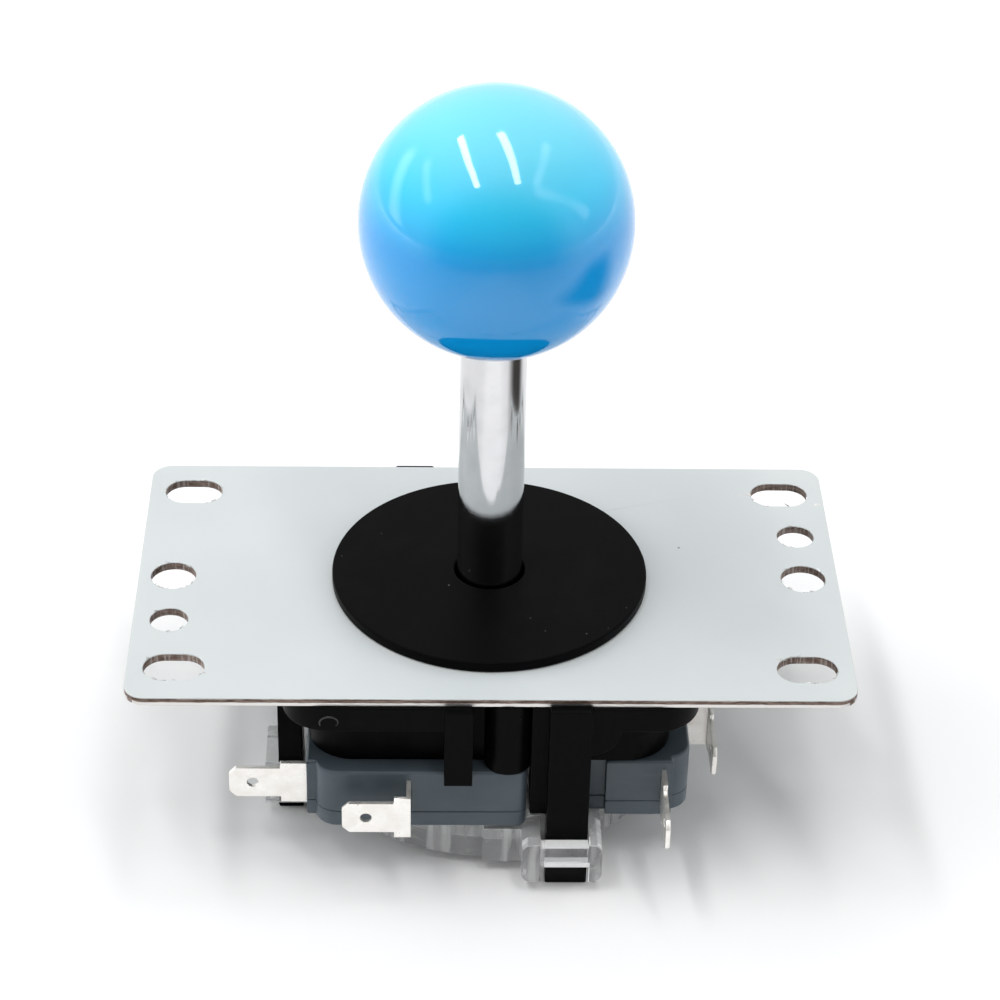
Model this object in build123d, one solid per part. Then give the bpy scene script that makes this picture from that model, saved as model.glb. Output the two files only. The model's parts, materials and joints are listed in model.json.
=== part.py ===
from build123d import *
import os
from math import asin, cos, radians, sin, sqrt, tan

# Arcade joystick lever, in millimetres.
# The origin is on the shaft axis, in the plane of the mounting plate's top face.
# +Z runs up the shaft and +X along the long side of the plate.
# Levels are heights in Z. "Out" distances run from the shaft axis towards a side.

# Running and seating clearances
slide_gap = 0.05        # flat pieces that slide on each other
bore_gap = 0.05         # a pin or shaft in its hole
ball_gap = 0.10         # pivot ball in its socket
dust_gap = 0.35         # shaft in the dust washer
stop_gap = 0.30         # lever against the gate at full tilt
lap_gap = 0.10          # plate edge against the housing's legs
plunger_gap = 0.20      # plunger tip off the actuator

# Motion
tilt_deg = 8.0

# Lever
ball_r = 17.5
ball_flat = 0.8         # cut off the ball where the shaft meets it
ball_height = 55.0      # ball centre above the plate
shaft_r = 4.4
rod_r = 3.0             # lower shaft and the stud in the ball
stud_length = 11.5
insert_r = 4.5
insert_length = 12.4
shaft_tail = 1.3        # shaft left below the clip's groove
groove_depth = 0.7
slot_end_w = 1.0
slot_end_depth = 1.2
clip_r = 4.8
clip_t = 0.6
clip_mouth = 4.2
clip_notches = (120, 240)   # degrees round from the mouth

# Dust washer and the shield under the plate
washer_r = 21.3
washer_t = 1.5
shield_r = 11.5
shield_t = 0.8
shield_room = 0.25      # above the shield, under the plate

# Mounting plate
plate_w = 95.0
plate_t = 1.2
plate_corner_r = 2.8
plate_hole_r = 8.5
slot_inset_x = 6.15     # slot centre in from the plate's end
slot_inset_y = 6.6      # and from its long edge
slot_l = 8.0
slot_w = 5.6
round_hole_inset = 4.7
round_hole_r = 3.05
small_hole_inset = 4.8
small_hole_y = 10.0
small_hole_r = 2.55
screw_offset = 11.5
screw_r = 1.5
screw_head_r = 2.9
screw_length = 8.0
screw_socket_w = 1.0
screw_socket_depth = 0.7

# Switches, four alike, set round the shaft like a pinwheel
sw_length = 27.9
sw_width = 15.9
sw_t = 9.2
sw_lead = 4.8           # switch end past the shaft axis
sw_wall = 1.2
sw_cover_t = 2.5
sw_corner_r = 3.0
sw_small_corner_r = 1.2
sw_edge_r = 0.4
sw_seam = 0.15
end_pad = 1.1
end_pad_from_outer = 2.4
end_pad_w = 8.8
sw_hole_r = 1.55
sw_hole_inset = 2.5
sw_post_wall = 1.1
plunger_out = 2.0
plunger_r = 1.7
plunger_dome_r = 3.0
plunger_collar_r = 2.2
plunger_collar_t = 0.9
plunger_pin_r = 1.2

# Terminals and contact blades
tab_t = 0.6
tab_w = 4.75
tab_length = 6.8
tab_hole_r = 0.75
tab_point = 0.9
shoulder_w = 6.5
com_shoulder = 3.5
no_shoulder = 2.2
neck_w = 3.6
tab_drop = 4.5          # tab centre line below the switch's top
com_from_outer = 3.6
no_from_com = 12.4      # second terminal from the common end
no_reach = 3.6
blade_t = 0.25
blade_w = 3.0
contact_gap = 0.95
rivet_r = 1.0
rivet_t = 0.45
blade_from_inner = 8.5

# Housing
flange_h = 3.8
flange_set = 1.2
flange_corner_r = 6.0
top_wall = 2.8
box_h = 7.4
box_set = 3.3
box_wall = 2.0
rib_t = 1.6
hub_r = 10.4
hub_drop = 0.9          # hub below the switches' top face
nose_r = 6.4
nose_h = 1.2
post_r = 3.0
leg_gap = 2.1
leg_t = 3.3
leg_w = 5.5
leg_from_switch = 2.7
leg_foot = 1.7          # leg below the gate
lap_t = 1.5
lap_drop = 0.85
barb_out = 1.0
stop_rib_w = 2.2
stop_rib_up = 1.9
stop_rib_d = 4.0
gusset_r = 3.9
finger_w = 3.7
finger_x = -6.1
finger_t = 1.6
finger_down = 1.0
boss_r = 3.1

# Pivot, spring and actuator
pivot_depth = 9.0
pivot_r = 7.5
pivot_top = 4.8
pivot_bottom = 4.2
spring_washer_t = 0.6
spring_washer_hole_r = 4.6
spring_r = 5.4
wire_d = 0.9
spring_turns = 4.5
actuator_r = 8.5
rim_above = 0.95        # actuator's rim above the plungers
drum_h = 4.1
skirt_r = 7.2
skirt_h = 3.5
cup_wall = 1.4
skirt_wall = 1.0
cup_floor = 1.5
cone_r = 5.0

# Gate
gate_r = 25.1
gate_wall = 1.6
gate_h = 6.4
gate_floor = 2.5
gate_corner_r = 4.0
arm_wall = 1.8
arm_left_wall = 2.5
arm_left_gap = 0.7
arm_gap = 0.15
bar_t = 1.8
bar_h = 3.3
bar_drop = 0.5
arm_corner_r = 1.3
root_block = 7.6
root_block_out = 1.2
under_gap = 0.7

# Levels
z_plate = -plate_t
z_flange = z_plate - flange_h
z_sw_top = z_flange - box_h
z_sw_bot = z_sw_top - sw_t
z_seam = z_sw_bot + sw_cover_t
z_plunger = (z_sw_top - sw_wall + z_seam) / 2
z_tab = z_sw_top - tab_drop
z_gate_top = z_sw_bot - slide_gap
z_gate_bot = z_gate_top - gate_h
z_foot = z_gate_bot - leg_foot
z_pivot = -pivot_depth
z_pivot_top = z_pivot + pivot_top
z_pivot_bot = z_pivot - pivot_bottom
z_hub = z_sw_top - hub_drop
z_nose = z_hub - nose_h
z_rim = z_plunger + rim_above
z_drum = z_rim - drum_h
z_skirt = z_drum - skirt_h
z_cup = z_skirt + cup_floor
z_shield = z_plate - shield_room
z_recess = z_shield - shield_t - slide_gap
z_ball_flat = ball_height - ball_r + ball_flat
z_tail = z_foot + slide_gap + rod_r * sin(radians(tilt_deg)) + pivot_depth * (1 - cos(radians(tilt_deg)))
z_groove = z_tail + shaft_tail
z_clip_top = z_groove + bore_gap + clip_t
z_cone = z_clip_top + bore_gap

# Distances out from the shaft axis
sw_inner = actuator_r + plunger_gap + plunger_out
sw_outer = sw_inner + sw_width
sw_end = sw_length - sw_lead
leg_inner = sw_end + leg_gap
leg_outer = leg_inner + leg_t
flange_half = leg_outer - flange_set
box_half = flange_half - box_set
plate_d = 2 * (leg_outer - lap_t - lap_gap)
slot_x = plate_w / 2 - slot_inset_x
slot_y = plate_d / 2 - slot_inset_y
round_hole_x = plate_w / 2 - round_hole_inset
small_hole_x = plate_w / 2 - small_hole_inset
leg_x0 = sw_lead + leg_from_switch
leg_x1 = leg_x0 + leg_w
bar_inner = leg_outer + slide_gap
bar_outer = bar_inner + bar_t
y_com = sw_outer - com_from_outer
y_blade = sw_inner + blade_from_inner
y_no_inner = y_blade + blade_t + contact_gap + rivet_t
x_no = no_from_com - sw_end
hole_near = (sw_lead - sw_hole_inset, -(sw_outer - sw_hole_inset))
hole_far = (sw_hole_inset - sw_end, -(sw_inner + sw_hole_inset))

# How far the lever's foot swings
tilt = radians(tilt_deg)
washer_swing = (pivot_depth + washer_t) * tan(tilt) / cos(tilt)
plunger_swing = (z_pivot - z_plunger) * tan(tilt)
foot_swing = (z_pivot - z_gate_bot) * tan(tilt) / cos(tilt)
gate_half = cone_r / cos(tilt) + foot_swing + stop_gap
shield_slot_l = 2 * (shaft_r / cos(tilt) + pivot_depth * tan(tilt) + dust_gap)
shield_slot_w = 2 * (shaft_r / cos(tilt) + washer_t * tan(tilt) + shield_room + dust_gap)
recess_r = shield_r + washer_swing + dust_gap

SIDES = ("front", "right", "rear", "left")


def block(x0, x1, y0, y1, z0, z1):
    """Box between two corners."""
    middle = Pos((x0 + x1) / 2, (y0 + y1) / 2, (z0 + z1) / 2)
    return middle * Box(abs(x1 - x0), abs(y1 - y0), abs(z1 - z0))


def post(r, z0, z1, x=0.0, y=0.0):
    """Upright cylinder between two levels."""
    return Pos(x, y, (z0 + z1) / 2) * Cylinder(r, abs(z1 - z0))


def across(r, y0, y1, x, z):
    """Cylinder lying along Y between two places."""
    return Pos(x, (y0 + y1) / 2, z) * Rot(90, 0, 0) * Cylinder(r, abs(y1 - y0))


def prism(sketch, z0, z1):
    """Flat outline raised from one level to another."""
    return Pos(0, 0, min(z0, z1)) * extrude(sketch, abs(z1 - z0), dir=(0, 0, 1))


def slab(points, x0, x1):
    """Outline of Y and Z points, carried along X from one place to another."""
    plane = Plane(origin=(x0, 0, 0), x_dir=(0, 1, 0), z_dir=(1, 0, 0))
    return extrude(plane * Polygon(*points, align=None), x1 - x0)


def turn(shape, side):
    """The front side's piece turned to the side of that number."""
    return Rot(0, 0, 90 * side) * shape


def all_round(shape):
    """The front side's piece on all four sides."""
    return [turn(shape, side) for side in range(len(SIDES))]


def spun(points):
    """Solid turned about the Z axis from radius and height points."""
    outline = make_face(Polyline(*[(r, 0, z) for r, z in points], close=True))
    return revolve(outline, Axis.Z)


def ball_top():
    ball = Pos(0, 0, ball_height) * Sphere(ball_r)
    ball -= post(ball_r, z_ball_flat - ball_r, z_ball_flat)
    return ball - post(insert_r, z_ball_flat, z_ball_flat + insert_length)


def ball_insert():
    sleeve = post(insert_r, z_ball_flat, z_ball_flat + insert_length)
    return sleeve - post(rod_r + bore_gap, z_ball_flat, z_ball_flat + insert_length)


def shaft():
    low = z_pivot_top + slide_gap
    body = post(shaft_r, low, z_ball_flat)
    body += post(rod_r, z_tail, low)
    body += post(rod_r, z_ball_flat, z_ball_flat + stud_length)
    groove_top = z_clip_top + bore_gap
    groove = post(rod_r + bore_gap, z_groove, groove_top) - post(rod_r - groove_depth, z_groove, groove_top)
    slot = block(-rod_r, rod_r, -slot_end_w / 2, slot_end_w / 2, z_tail, z_tail + slot_end_depth)
    return body - groove - slot


def retaining_clip():
    low = z_groove + bore_gap
    inner = rod_r - groove_depth + bore_gap
    ring = post(clip_r, low, z_clip_top) - post(inner, low, z_clip_top)
    ring -= block(0, clip_r, -clip_mouth / 2, clip_mouth / 2, low, z_clip_top)
    for angle in clip_notches:
        notch_x = inner * cos(radians(angle))
        notch_y = inner * sin(radians(angle))
        ring -= post(groove_depth, low, z_clip_top, notch_x, notch_y)
    return ring


def dust_washer():
    ring = post(washer_r, slide_gap, slide_gap + washer_t)
    return ring - post(shaft_r + dust_gap, 0, 2 * washer_t)


def inner_dust_shield():
    disc = post(shield_r, z_shield - shield_t, z_shield)
    slot = prism(SlotOverall(shield_slot_l, shield_slot_w), z_shield - 2 * shield_t, z_shield + shield_t)
    return disc - slot


def screw_places():
    return [(x, y) for x in (-screw_offset, screw_offset) for y in (-screw_offset, screw_offset)]


def mounting_plate():
    plate = prism(RectangleRounded(plate_w, plate_d, plate_corner_r), z_plate, 0)
    cuts = [post(plate_hole_r, -2 * plate_t, plate_t)]
    for sx in (-1, 1):
        cuts.append(post(round_hole_r, -2 * plate_t, plate_t, sx * round_hole_x, 0))
        cuts.append(post(small_hole_r, -2 * plate_t, plate_t, sx * small_hole_x, sx * small_hole_y))
        for sy in (-1, 1):
            slot = prism(SlotOverall(slot_l, slot_w), -2 * plate_t, plate_t)
            cuts.append(Pos(sx * slot_x, sy * slot_y, 0) * slot)
    for x, y in screw_places():
        cuts.append(Pos(x, y, 0) * screw_form(bore_gap))
    return plate - cuts


def screw_form(grow):
    """Countersunk screw at the origin, made larger by grow for its hole."""
    head = screw_head_r + grow
    neck = screw_r + grow
    low = -screw_length - grow
    return spun([(0, 0), (head, 0), (neck, neck - head), (neck, low), (0, low)])


def plate_screws():
    screw = screw_form(0)
    for angle in (0, 90):
        arm = Box(2 * screw_r, screw_socket_w, 2 * screw_socket_depth)
        screw -= Rot(0, 0, angle) * arm
    return Compound(children=[Pos(x, y, 0) * screw for x, y in screw_places()])


def leg(side):
    """Snap leg of one side, with its barb, stop rib, gusset, finger and the bosses and pins for its switch."""
    z_bar = z_gate_top - bar_drop - bar_h
    z_catch = z_bar - arm_gap
    body = block(leg_x0, leg_x1, -leg_outer, -leg_inner, z_plate, z_foot)
    barb = [(-leg_outer + lap_t, z_catch), (-leg_outer - barb_out, z_catch), (-leg_outer, z_foot),
            (-leg_outer + lap_t, z_foot)]
    body += slab(barb, leg_x0, leg_x1)
    rib_out = -leg_inner - box_wall / 2
    body += block(leg_x0 - stop_rib_w, leg_x0, rib_out, rib_out + stop_rib_d, z_plate, z_sw_bot + stop_rib_up)
    face = -flange_half
    gusset = block(leg_x1, leg_x1 + gusset_r, face, face + box_wall, z_flange - gusset_r, z_flange)
    body += gusset & across(gusset_r, face, face + box_wall, leg_x1, z_flange)
    if side % 2 == 0:
        body += block(leg_x0, leg_x1, -leg_outer, -leg_outer + lap_t, z_plate, -lap_drop)
    tip = sw_outer + slide_gap
    finger = block(finger_x, finger_x + finger_w, -tip - finger_t, -box_half, z_plate, z_sw_top)
    finger += block(finger_x, finger_x + finger_w, -tip - finger_t, -tip, z_sw_top, z_sw_top - finger_down)
    body += finger
    body += post(boss_r, z_plate, z_sw_top, *hole_near)
    for x, y in (hole_near, hole_far):
        body += post(sw_hole_r - bore_gap, z_sw_top, z_seam, x, y)
    body += post(boss_r, z_plate - top_wall, z_sw_top, *hole_far)
    return body


def housing():
    flange = prism(RectangleRounded(2 * flange_half, 2 * flange_half, flange_corner_r), z_plate, z_flange)
    skirt = prism(RectangleRounded(2 * box_half, 2 * box_half, flange_corner_r), z_flange, z_sw_top)
    room = 2 * (box_half - box_wall)
    body = flange + skirt - prism(RectangleRounded(room, room, flange_corner_r), z_plate - top_wall, z_sw_top)
    boss_notch = block(finger_x + finger_w, leg_x0, -flange_half, -box_half, z_plate, z_flange)
    body -= all_round(boss_notch)
    reach = box_half - box_wall / 2
    for offset in (-screw_offset, 0, screw_offset):
        rib = block(offset - rib_t / 2, offset + rib_t / 2, -reach, reach, z_plate - top_wall, z_sw_top)
        body += [rib, turn(rib, 1)]
    body += post(hub_r, z_plate - top_wall, z_hub)
    body += post(nose_r, z_hub, z_nose)
    for x, y in screw_places():
        body += post(post_r, z_plate - top_wall, z_plate - screw_length - box_wall, x, y)
    for side in range(len(SIDES)):
        body += turn(leg(side), side)
    socket = Pos(0, 0, z_pivot) * Sphere(pivot_r + ball_gap)
    socket += post(pivot_r + ball_gap, z_pivot, 0)
    body -= socket
    body -= post(spring_washer_hole_r, z_pivot, z_nose - nose_h)
    body -= post(recess_r, z_recess, 0)
    for x, y in screw_places():
        body -= Pos(x, y, 0) * screw_form(bore_gap)
    return body


def pivot_ball():
    ball = Pos(0, 0, z_pivot) * Sphere(pivot_r)
    ball &= block(-pivot_r, pivot_r, -pivot_r, pivot_r, z_pivot_bot, z_pivot_top)
    return ball - post(rod_r + bore_gap, z_pivot_bot, z_pivot_top)


def spring_washer():
    ring = post(nose_r - bore_gap, z_nose - spring_washer_t, z_nose)
    return ring - post(spring_washer_hole_r, z_nose - spring_washer_t, z_nose)


def return_spring():
    top = z_nose - spring_washer_t - slide_gap - wire_d / 2
    low = z_cup + slide_gap + wire_d / 2
    path = Pos(0, 0, low) * Helix((top - low) / spring_turns, top - low, spring_r)
    section = Plane(path @ 0, z_dir=path % 0) * Circle(wire_d / 2)
    return sweep(section, path=path, is_frenet=True)


def actuator():
    drum_bore = actuator_r - cup_wall
    skirt_bore = skirt_r - skirt_wall
    return spun([
        (rod_r + bore_gap, z_cone), (cone_r, z_cone), (cone_r, z_skirt), (skirt_r, z_skirt), (skirt_r, z_drum),
        (actuator_r, z_drum), (actuator_r, z_rim), (drum_bore, z_rim), (drum_bore, z_drum + cup_wall),
        (skirt_bore, z_drum), (skirt_bore, z_cup), (rod_r + bore_gap, z_cup),
    ])


def switch_outline():
    """Top view of the front switch, with one large corner at the common terminal."""
    outline = Pos((sw_lead - sw_end) / 2, -(sw_inner + sw_outer) / 2) * Rectangle(sw_length, sw_width)
    outer_corner = outline.vertices().sort_by_distance((-sw_end, -sw_outer))
    outline = fillet(outer_corner[0], sw_corner_r)
    rest = [v for v in outline.vertices() if v.X > 0 or v.Y > -sw_inner - sw_small_corner_r]
    return fillet(rest, sw_small_corner_r)


def switch_block(z0, z1):
    """Switch body between two levels, with the raised pad at its common end."""
    body = prism(switch_outline(), z0, z1)
    pad_y = -sw_outer + end_pad_from_outer
    return body + block(-sw_end - end_pad, -sw_end + sw_wall, pad_y, pad_y + end_pad_w, z0, z1)


def softened(body, level, size, cut):
    """Body with the outline edges at a level rounded or bevelled."""
    rim = body.edges().filter_by_position(Axis.Z, level - slide_gap, level + slide_gap)
    return cut(rim, size)


def switch_case():
    body = switch_block(z_seam, z_sw_top)
    body = softened(body, z_sw_top, sw_edge_r, fillet)
    body = softened(body, z_seam, sw_seam, chamfer)
    room = block(
        sw_wall - sw_end, sw_lead - sw_wall, sw_wall - sw_outer, -sw_inner - sw_wall, z_seam, z_sw_top - sw_wall
    )
    for x, y in (hole_near, hole_far):
        room -= post(sw_hole_r + sw_post_wall, z_seam, z_sw_top, x, y)
    body -= room
    for x, y in (hole_near, hole_far):
        body -= post(sw_hole_r, z_seam, z_sw_top, x, y)
    body -= across(plunger_r + bore_gap, -sw_inner, -sw_inner - 2 * sw_wall, 0, z_plunger)
    half = neck_w / 2 + bore_gap
    side = tab_t / 2 + bore_gap
    body -= block(-sw_end - end_pad, 2 * sw_wall - sw_end, -y_com - side, -y_com + side, z_tab - half, z_tab + half)
    body -= block(x_no - side, x_no + side, -sw_outer, -sw_outer + 2 * sw_wall, z_tab - half, z_tab + half)
    return body


def switch_cover():
    body = switch_block(z_sw_bot, z_seam)
    body = softened(body, z_sw_bot, sw_edge_r, fillet)
    body = softened(body, z_seam, sw_seam, chamfer)
    for x, y in (hole_near, hole_far):
        body -= post(sw_hole_r, z_sw_bot, z_seam, x, y)
    return body


def plunger():
    """Domed button of the front switch, turned about Y, with its collar inside the case."""
    tip = sw_inner - plunger_out
    edge = plunger_dome_r - sqrt(plunger_dome_r**2 - plunger_r**2)
    collar = sw_inner + sw_wall + plunger_swing + stop_gap
    foot = y_blade - slide_gap
    half_turn = asin(plunger_r / plunger_dome_r) / 2
    on_dome = (plunger_dome_r * sin(half_turn), 0, tip + plunger_dome_r * (1 - cos(half_turn)))
    side = Polyline(
        (plunger_r, 0, tip + edge), (plunger_r, 0, collar), (plunger_collar_r, 0, collar),
        (plunger_collar_r, 0, collar + plunger_collar_t), (plunger_pin_r, 0, collar + plunger_collar_t),
        (plunger_pin_r, 0, foot), (0, 0, foot), (0, 0, tip),
    )
    dome = ThreePointArc((0, 0, tip), on_dome, (plunger_r, 0, tip + edge))
    return Pos(0, 0, z_plunger) * Rot(90, 0, 0) * revolve(make_face(side + dome), Axis.Z)


def tab(x_root, x_shoulder, y):
    """Push-on tab that points to -X from its shoulder, with a hole and a pointed end."""
    x_end = x_shoulder - tab_length
    half = tab_w / 2
    outline = Polyline(
        (x_shoulder, y - tab_t / 2, z_tab - half),
        (x_end + tab_point, y - tab_t / 2, z_tab - half),
        (x_end, y - tab_t / 2, z_tab - half + tab_point),
        (x_end, y - tab_t / 2, z_tab + half - tab_point),
        (x_end + tab_point, y - tab_t / 2, z_tab + half),
        (x_shoulder, y - tab_t / 2, z_tab + half),
        close=True,
    )
    blade = extrude(make_face(outline), tab_t, dir=(0, 1, 0))
    blade -= across(tab_hole_r, y - tab_t, y + tab_t, x_end + tab_w / 2 + tab_hole_r, z_tab)
    half = shoulder_w / 2
    return blade + block(x_shoulder, x_root, y - tab_t / 2, y + tab_t / 2, z_tab - half, z_tab + half)


def com_terminal():
    """Common terminal: tab at the switch's end, bent inside to carry the blade."""
    root = -sw_end - end_pad
    piece = tab(root, root - com_shoulder, -y_com)
    low = z_tab - neck_w / 2
    high = z_tab + neck_w / 2
    inside = -sw_end + 2 * sw_wall
    seat = -y_blade - blade_t
    piece += block(root, inside, -y_com - tab_t / 2, -y_com + tab_t / 2, low, high)
    piece += block(inside - tab_t, inside, -y_com - tab_t / 2, seat, low, high)
    return piece + block(inside - tab_t, inside + blade_w, seat - tab_t, seat, low, high)


def no_terminal():
    """Second terminal: tab bent along the switch's face, with a fixed contact inside."""
    y_tab = -sw_outer - no_reach
    root = x_no + tab_t / 2
    piece = tab(root, root - no_shoulder, y_tab)
    half = shoulder_w / 2
    piece += block(x_no - tab_t / 2, root, y_tab, -sw_outer, z_tab - half, z_tab + half)
    low = z_tab - neck_w / 2
    high = z_tab + neck_w / 2
    piece += block(x_no - tab_t / 2, root, -sw_outer, -y_no_inner, low, high)
    contact_x = -plunger_pin_r - 2 * rivet_r
    piece += block(x_no - tab_t / 2, contact_x + rivet_r, -y_no_inner - tab_t, -y_no_inner, low, high)
    return piece + across(rivet_r, -y_no_inner, -y_no_inner + rivet_t, contact_x, z_plunger)


def contact_blade():
    """Spring blade from the common terminal past the plunger, with its moving contact."""
    x_fixed = -sw_end + 2 * sw_wall
    contact_x = -plunger_pin_r - 2 * rivet_r
    low = z_plunger - blade_w / 2
    strip = block(x_fixed, plunger_pin_r, -y_blade - blade_t, -y_blade, low, low + blade_w)
    return strip + across(rivet_r, -y_blade, -y_blade - blade_t - rivet_t / 2, contact_x, z_plunger)


def gate_arm():
    """Loop of the gate that a housing leg snaps into, on the front side."""
    x_left = leg_x0 - arm_left_gap
    x_right = leg_x1 + arm_gap
    x_start = x_left - arm_left_wall
    x_end = x_right + arm_wall
    z_bar = z_gate_top - bar_drop
    low_top = z_sw_bot - under_gap
    inside = -sw_end - end_pad - arm_gap
    arm = block(x_start, x_end, -bar_outer, -bar_inner, z_gate_bot, z_gate_top)
    arm = fillet(arm.edges().filter_by(Axis.Y), arm_corner_r)
    arm -= block(x_left, x_right, -bar_outer, -bar_inner, z_bar, z_gate_top)
    arm -= block(x_left, x_right, -bar_outer, -bar_inner, z_gate_bot, z_bar - bar_h)
    left = block(x_start, x_left, -bar_inner, -gate_r + gate_wall, z_gate_bot, low_top)
    arm += fillet(left.edges().filter_by(Axis.Y).group_by(Axis.Z)[0].sort_by(Axis.X)[0], arm_corner_r)
    right = block(x_right, x_end, -bar_inner, inside, z_gate_bot, z_gate_top)
    arm += fillet(right.edges().filter_by(Axis.Y).sort_by(Axis.X)[-2:], arm_corner_r)
    arm += block(x_right, x_end, inside, -gate_half, z_gate_bot, low_top)
    root = block(x_left - root_block, x_left, -gate_r - root_block_out, -gate_half, z_gate_bot, low_top)
    return arm + root


def restrictor_gate():
    body = post(gate_r, z_gate_bot, z_gate_top)
    for arm in all_round(gate_arm()):
        body += arm
    z_floor = z_gate_bot + gate_floor
    body -= post(gate_r - gate_wall, z_floor, z_gate_top)
    opening = RectangleRounded(2 * gate_half, 2 * gate_half, gate_corner_r)
    return body - prism(opening, z_gate_bot, z_floor)


def write(name, shape):
    export_step(shape, f"parts/{name}.step")


os.makedirs("parts", exist_ok=True)
ONE_OF_EACH = {
    "ball_top": ball_top,
    "ball_insert": ball_insert,
    "shaft": shaft,
    "retaining_clip": retaining_clip,
    "dust_washer": dust_washer,
    "inner_dust_shield": inner_dust_shield,
    "mounting_plate": mounting_plate,
    "plate_screws": plate_screws,
    "housing": housing,
    "pivot_ball": pivot_ball,
    "spring_washer": spring_washer,
    "return_spring": return_spring,
    "actuator": actuator,
    "restrictor_gate": restrictor_gate,
}
ONE_A_SIDE = {
    "switch_case": switch_case,
    "switch_cover": switch_cover,
    "plunger": plunger,
    "com_terminal": com_terminal,
    "no_terminal": no_terminal,
    "contact_blade": contact_blade,
}
for name, make in ONE_OF_EACH.items():
    write(name, make())
for name, make in ONE_A_SIDE.items():
    piece = make()
    for number, side_name in enumerate(SIDES):
        write(f"{side_name}_{name}", turn(piece, number))
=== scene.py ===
import json
import math

import bmesh
import bpy
from mathutils import Matrix, Vector
from mathutils.bvhtree import BVHTree


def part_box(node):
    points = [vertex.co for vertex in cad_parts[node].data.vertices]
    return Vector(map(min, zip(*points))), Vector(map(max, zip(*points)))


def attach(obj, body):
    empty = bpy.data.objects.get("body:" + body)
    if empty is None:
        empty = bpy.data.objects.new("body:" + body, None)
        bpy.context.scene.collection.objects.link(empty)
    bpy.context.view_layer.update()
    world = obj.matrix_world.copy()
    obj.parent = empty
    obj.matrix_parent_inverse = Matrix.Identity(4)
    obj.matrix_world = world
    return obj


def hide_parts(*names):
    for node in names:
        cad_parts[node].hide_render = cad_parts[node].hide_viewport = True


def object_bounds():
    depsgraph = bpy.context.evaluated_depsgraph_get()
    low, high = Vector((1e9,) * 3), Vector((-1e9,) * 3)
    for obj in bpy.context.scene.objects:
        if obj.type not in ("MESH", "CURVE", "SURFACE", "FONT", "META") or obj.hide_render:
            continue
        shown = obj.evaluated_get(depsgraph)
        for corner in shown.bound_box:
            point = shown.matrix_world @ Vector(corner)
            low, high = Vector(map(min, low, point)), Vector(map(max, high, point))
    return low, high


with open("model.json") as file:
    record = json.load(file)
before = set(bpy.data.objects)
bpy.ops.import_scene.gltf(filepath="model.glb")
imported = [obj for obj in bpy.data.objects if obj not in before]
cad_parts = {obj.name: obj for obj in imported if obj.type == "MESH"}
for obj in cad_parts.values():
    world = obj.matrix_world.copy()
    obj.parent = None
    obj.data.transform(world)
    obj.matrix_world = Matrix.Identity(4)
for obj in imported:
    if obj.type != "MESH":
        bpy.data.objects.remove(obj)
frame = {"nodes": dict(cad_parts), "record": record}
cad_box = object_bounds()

# Arcade joystick lever: finishes, rounded edges, light and camera.
# Lengths are in metres, and MM turns millimetres into them.
MM = 0.001
SIDES = ("front", "right", "rear", "left")
scene = bpy.context.scene


# Shader maths

class Flow:
    """A socket of a node tree that takes part in sums and makes further nodes."""

    def __init__(self, tree, socket=None):
        self.tree = tree
        self.socket = socket

    def node(self, kind, settings=None, inputs=None, out=0):
        """New node of a kind: its settings first, then the values or links of its sockets."""
        made = self.tree.nodes.new(kind)
        for name, value in (settings or {}).items():
            setattr(made, name, value)
        for name, value in (inputs or {}).items():
            if isinstance(value, Flow):
                self.tree.links.new(value.socket, made.inputs[name])
            else:
                made.inputs[name].default_value = value
        return Flow(self.tree, made.outputs[out] if made.outputs else None)

    def other(self, name):
        """Another output of the same node."""
        return Flow(self.tree, self.socket.node.outputs[name])

    def axis(self, name):
        """One of a vector's three numbers."""
        return self.node("ShaderNodeSeparateXYZ", None, {0: self}, out=name)

    def sum_of(self, operation, first, second=0.0):
        return self.node("ShaderNodeMath", {"operation": operation}, {0: first, 1: second})

    def __add__(self, other):
        return self.sum_of("ADD", self, other)

    def __radd__(self, other):
        return self.sum_of("ADD", other, self)

    def __sub__(self, other):
        return self.sum_of("SUBTRACT", self, other)

    def __rsub__(self, other):
        return self.sum_of("SUBTRACT", other, self)

    def __mul__(self, other):
        return self.sum_of("MULTIPLY", self, other)

    def __rmul__(self, other):
        return self.sum_of("MULTIPLY", other, self)

    def __truediv__(self, other):
        return self.sum_of("DIVIDE", self, other)

    def __gt__(self, other):
        return self.sum_of("GREATER_THAN", self, other)

    def __lt__(self, other):
        return self.sum_of("LESS_THAN", self, other)

    def step(self, low, high):
        """0 below low, 1 above high, smooth between them."""
        settings = {"interpolation_type": "SMOOTHSTEP"}
        return self.node("ShaderNodeMapRange", settings, {"Value": self, "From Min": low, "From Max": high})

    def either(self, other):
        return self.sum_of("MAXIMUM", self, other)

    def size(self):
        return self.sum_of("ABSOLUTE", self)

    def sign(self):
        return self.sum_of("SIGN", self)


def bare_flow(holder):
    """The emptied node tree of a material or a world."""
    holder.use_nodes = True
    holder.node_tree.nodes.clear()
    return Flow(holder.node_tree)


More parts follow.
